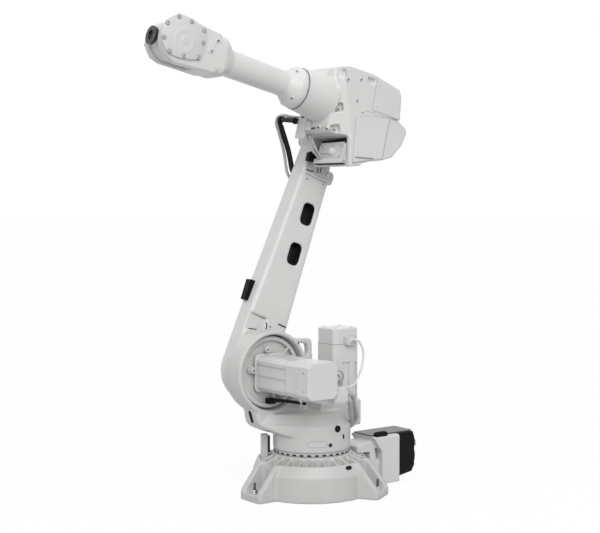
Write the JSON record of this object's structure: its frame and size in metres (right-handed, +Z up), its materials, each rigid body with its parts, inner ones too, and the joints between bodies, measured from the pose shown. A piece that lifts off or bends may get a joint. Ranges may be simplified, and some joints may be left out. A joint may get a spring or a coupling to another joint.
{
  "type": "industrial robot arm",
  "caption": "Light grey jointed industrial robot arm on a round footed base, with a turning turret, lower arm, upper arm, rolling forearm, tilting wrist and tool flange.",
  "frame": {"origin": "on the floor, on the turning axis of the base", "axes": "+X forward in the plane of the arm, +Y to the side of the shoulder motor, +Z up"},
  "size_m": [1.1069, 0.5368, 1.6694],
  "materials": {
    "light grey paint": "satin",
    "black plastic": "matt",
    "dark grey plate": "satin",
    "grey rubber": "matt",
    "pale cable sheath": "matt",
    "dark steel": "satin"
  },
  "bodies": {
    "base": {"base_casting": "light grey paint", "rear_housing": "light grey paint", "plug_block": "black plastic", "cover_plate": "dark grey plate", "brake_release": "black plastic", "stop_post": "light grey paint", "stop_strip": "black plastic"},
    "turret": {"turret_casting": "light grey paint", "axis_one_motor": "light grey paint", "axis_one_motor_cap": "light grey paint", "axis_one_motor_plug": "light grey paint", "shoulder_gear_face": "light grey paint", "shoulder_motor": "light grey paint", "shoulder_motor_cap": "light grey paint", "turret_plug": "black plastic", "motor_connector": "grey rubber", "turret_hose_one": "grey rubber", "turret_hose_two": "grey rubber", "motor_cable": "pale cable sheath"},
    "lower arm": {"lower_arm_casting": "light grey paint", "arm_clip": "dark steel", "swivel_base": "black plastic"},
    "upper arm": {"elbow_gear": "light grey paint", "upper_arm_housing": "light grey paint", "housing_upper_cover": "light grey paint", "housing_lower_cover": "light grey paint", "housing_side_plate": "light grey paint", "bracket_plate": "light grey paint", "conduit_clamp": "black plastic", "conduit": "black plastic", "signal_cable": "grey rubber", "swivel_cap": "black plastic", "elbow_motor": "light grey paint"},
    "forearm": {"forearm": "light grey paint", "wrist_near_cover": "light grey paint", "wrist_far_cover": "light grey paint"},
    "wrist": {"wrist_tilt": "light grey paint"},
    "flange": {"tool_flange": "dark steel"}
  },
  "joints": [
    {"name": "axis_one", "type": "hinge", "parent": "base", "child": "turret", "pos_m": [0, 0, 0.155], "axis": [0, 0, 1], "range_deg": [-180, 180]},
    {"name": "axis_two", "type": "hinge", "parent": "turret", "child": "lower arm", "pos_m": [0.15, 0, 0.445], "axis": [0, 1, 0], "range_deg": [-75, 175]},
    {"name": "axis_three", "type": "hinge", "parent": "lower arm", "child": "upper arm", "pos_m": [-0.15782, 0, 1.29072], "axis": [0, -1, 0], "range_deg": [-68.6, 186.4]},
    {"name": "axis_four", "type": "hinge", "parent": "upper arm", "child": "forearm", "pos_m": [0.06785, 0, 1.46364], "axis": [0.972, 0, 0.2351], "range_deg": [-400, 400]},
    {"name": "axis_five", "type": "hinge", "parent": "forearm", "child": "wrist", "pos_m": [0.58785, 0, 1.58944], "axis": [0, 1, 0], "range_deg": [-120, 120]},
    {"name": "axis_six", "type": "hinge", "parent": "wrist", "child": "flange", "pos_m": [0.6588, 0, 1.6066], "axis": [0.972, 0, 0.2351], "range_deg": [-400, 400]}
  ]
}
